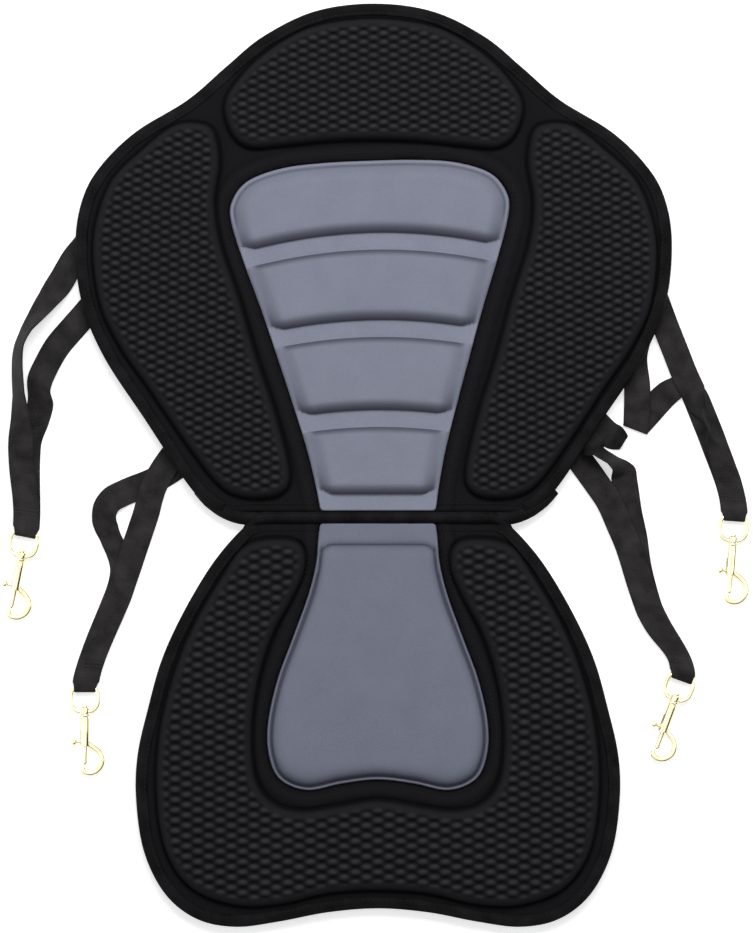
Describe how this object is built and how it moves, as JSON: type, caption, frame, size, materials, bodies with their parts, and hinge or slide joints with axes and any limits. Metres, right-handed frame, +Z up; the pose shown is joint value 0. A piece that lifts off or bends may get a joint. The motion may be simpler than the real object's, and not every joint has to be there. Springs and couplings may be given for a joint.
{
  "type": "kayak seat",
  "caption": "Folding kayak seat: padded backrest and seat with embossed moulded pads, joined by a sewn fold, with webbing straps that end in swivel bolt snaps.",
  "frame": {"origin": "on the floor plane, on the flat underside of the seat, under the middle of the seat pad", "axes": "+Y from the seat's front towards the backrest's top, +Z up out of the pads' faces, +X to the right when the backrest's top is away from the viewer"},
  "size_m": [0.5673, 0.7, 0.024],
  "materials": {
    "black_fabric": "embossed knit, matte",
    "grey_fabric": "embossed knit, matte",
    "foam": "closed-cell foam, matte",
    "cover_fabric": "plain woven nylon",
    "binding_tape": "ribbed tape, satin",
    "webbing": "woven webbing, satin",
    "brass_plate": "polished plating",
    "spring_steel": "bright wire"
  },
  "bodies": {
    "backrest": {"backrest_front": "black_fabric", "backrest_centre_panel": "grey_fabric", "backrest_foam_board": "foam", "backrest_back_cover": "cover_fabric", "backrest_binding": "binding_tape", "upper_left_strap": "webbing", "lower_left_strap": "webbing", "upper_right_strap": "webbing", "lower_right_strap": "webbing", "upper_left_snap_eye": "brass_plate", "lower_left_snap_eye": "brass_plate", "upper_right_snap_eye": "brass_plate", "lower_right_snap_eye": "brass_plate"},
    "seat": {"seat_top": "black_fabric", "seat_centre_panel": "grey_fabric", "seat_foam_board": "foam", "seat_bottom_cover": "cover_fabric", "seat_binding": "binding_tape"},
    "upper_left_hook": {"upper_left_snap_hook": "brass_plate", "upper_left_snap_spring": "spring_steel"},
    "upper_left_bolt": {"upper_left_snap_bolt": "brass_plate"},
    "lower_left_hook": {"lower_left_snap_hook": "brass_plate", "lower_left_snap_spring": "spring_steel"},
    "lower_left_bolt": {"lower_left_snap_bolt": "brass_plate"},
    "upper_right_hook": {"upper_right_snap_hook": "brass_plate", "upper_right_snap_spring": "spring_steel"},
    "upper_right_bolt": {"upper_right_snap_bolt": "brass_plate"},
    "lower_right_hook": {"lower_right_snap_hook": "brass_plate", "lower_right_snap_spring": "spring_steel"},
    "lower_right_bolt": {"lower_right_snap_bolt": "brass_plate"}
  },
  "joints": [
    {"name": "seat_fold", "type": "hinge", "parent": "backrest", "child": "seat", "pos_m": [0, 0.16, 0.01], "axis": [-1, 0, 0], "range_deg": [0, 110]},
    {"name": "upper_left_swivel", "type": "hinge", "parent": "backrest", "child": "upper_left_hook", "pos_m": [-0.2674, 0.1309, 0.004], "axis": [-0.1908, -0.9816, 0], "continuous": true},
    {"name": "upper_left_bolt_slide", "type": "slide", "parent": "upper_left_hook", "child": "upper_left_bolt", "axis": [0.1908, 0.9816, 0], "range_m": [0, 0.008], "stiffness_N_per_m": 150, "springref_m": -0.004, "deforming": ["upper_left_snap_spring"]},
    {"name": "lower_left_swivel", "type": "hinge", "parent": "backrest", "child": "lower_left_hook", "pos_m": [-0.2193, 0.0128, 0.004], "axis": [0, -1, 0], "continuous": true},
    {"name": "lower_left_bolt_slide", "type": "slide", "parent": "lower_left_hook", "child": "lower_left_bolt", "axis": [0, 1, 0], "range_m": [0, 0.008], "stiffness_N_per_m": 150, "springref_m": -0.004, "deforming": ["lower_left_snap_spring"]},
    {"name": "upper_right_swivel", "type": "hinge", "parent": "backrest", "child": "upper_right_hook", "pos_m": [0.2726, 0.1426, 0.004], "axis": [-0.0698, -0.9976, 0], "continuous": true},
    {"name": "upper_right_bolt_slide", "type": "slide", "parent": "upper_right_hook", "child": "upper_right_bolt", "axis": [0.0698, 0.9976, 0], "range_m": [0, 0.008], "stiffness_N_per_m": 150, "springref_m": -0.004, "deforming": ["upper_right_snap_spring"]},
    {"name": "lower_right_swivel", "type": "hinge", "parent": "backrest", "child": "lower_right_hook", "pos_m": [0.2285, 0.0222, 0.004], "axis": [-0.342, -0.9397, 0], "continuous": true},
    {"name": "lower_right_bolt_slide", "type": "slide", "parent": "lower_right_hook", "child": "lower_right_bolt", "axis": [0.342, 0.9397, 0], "range_m": [0, 0.008], "stiffness_N_per_m": 150, "springref_m": -0.004, "deforming": ["lower_right_snap_spring"]}
  ]
}
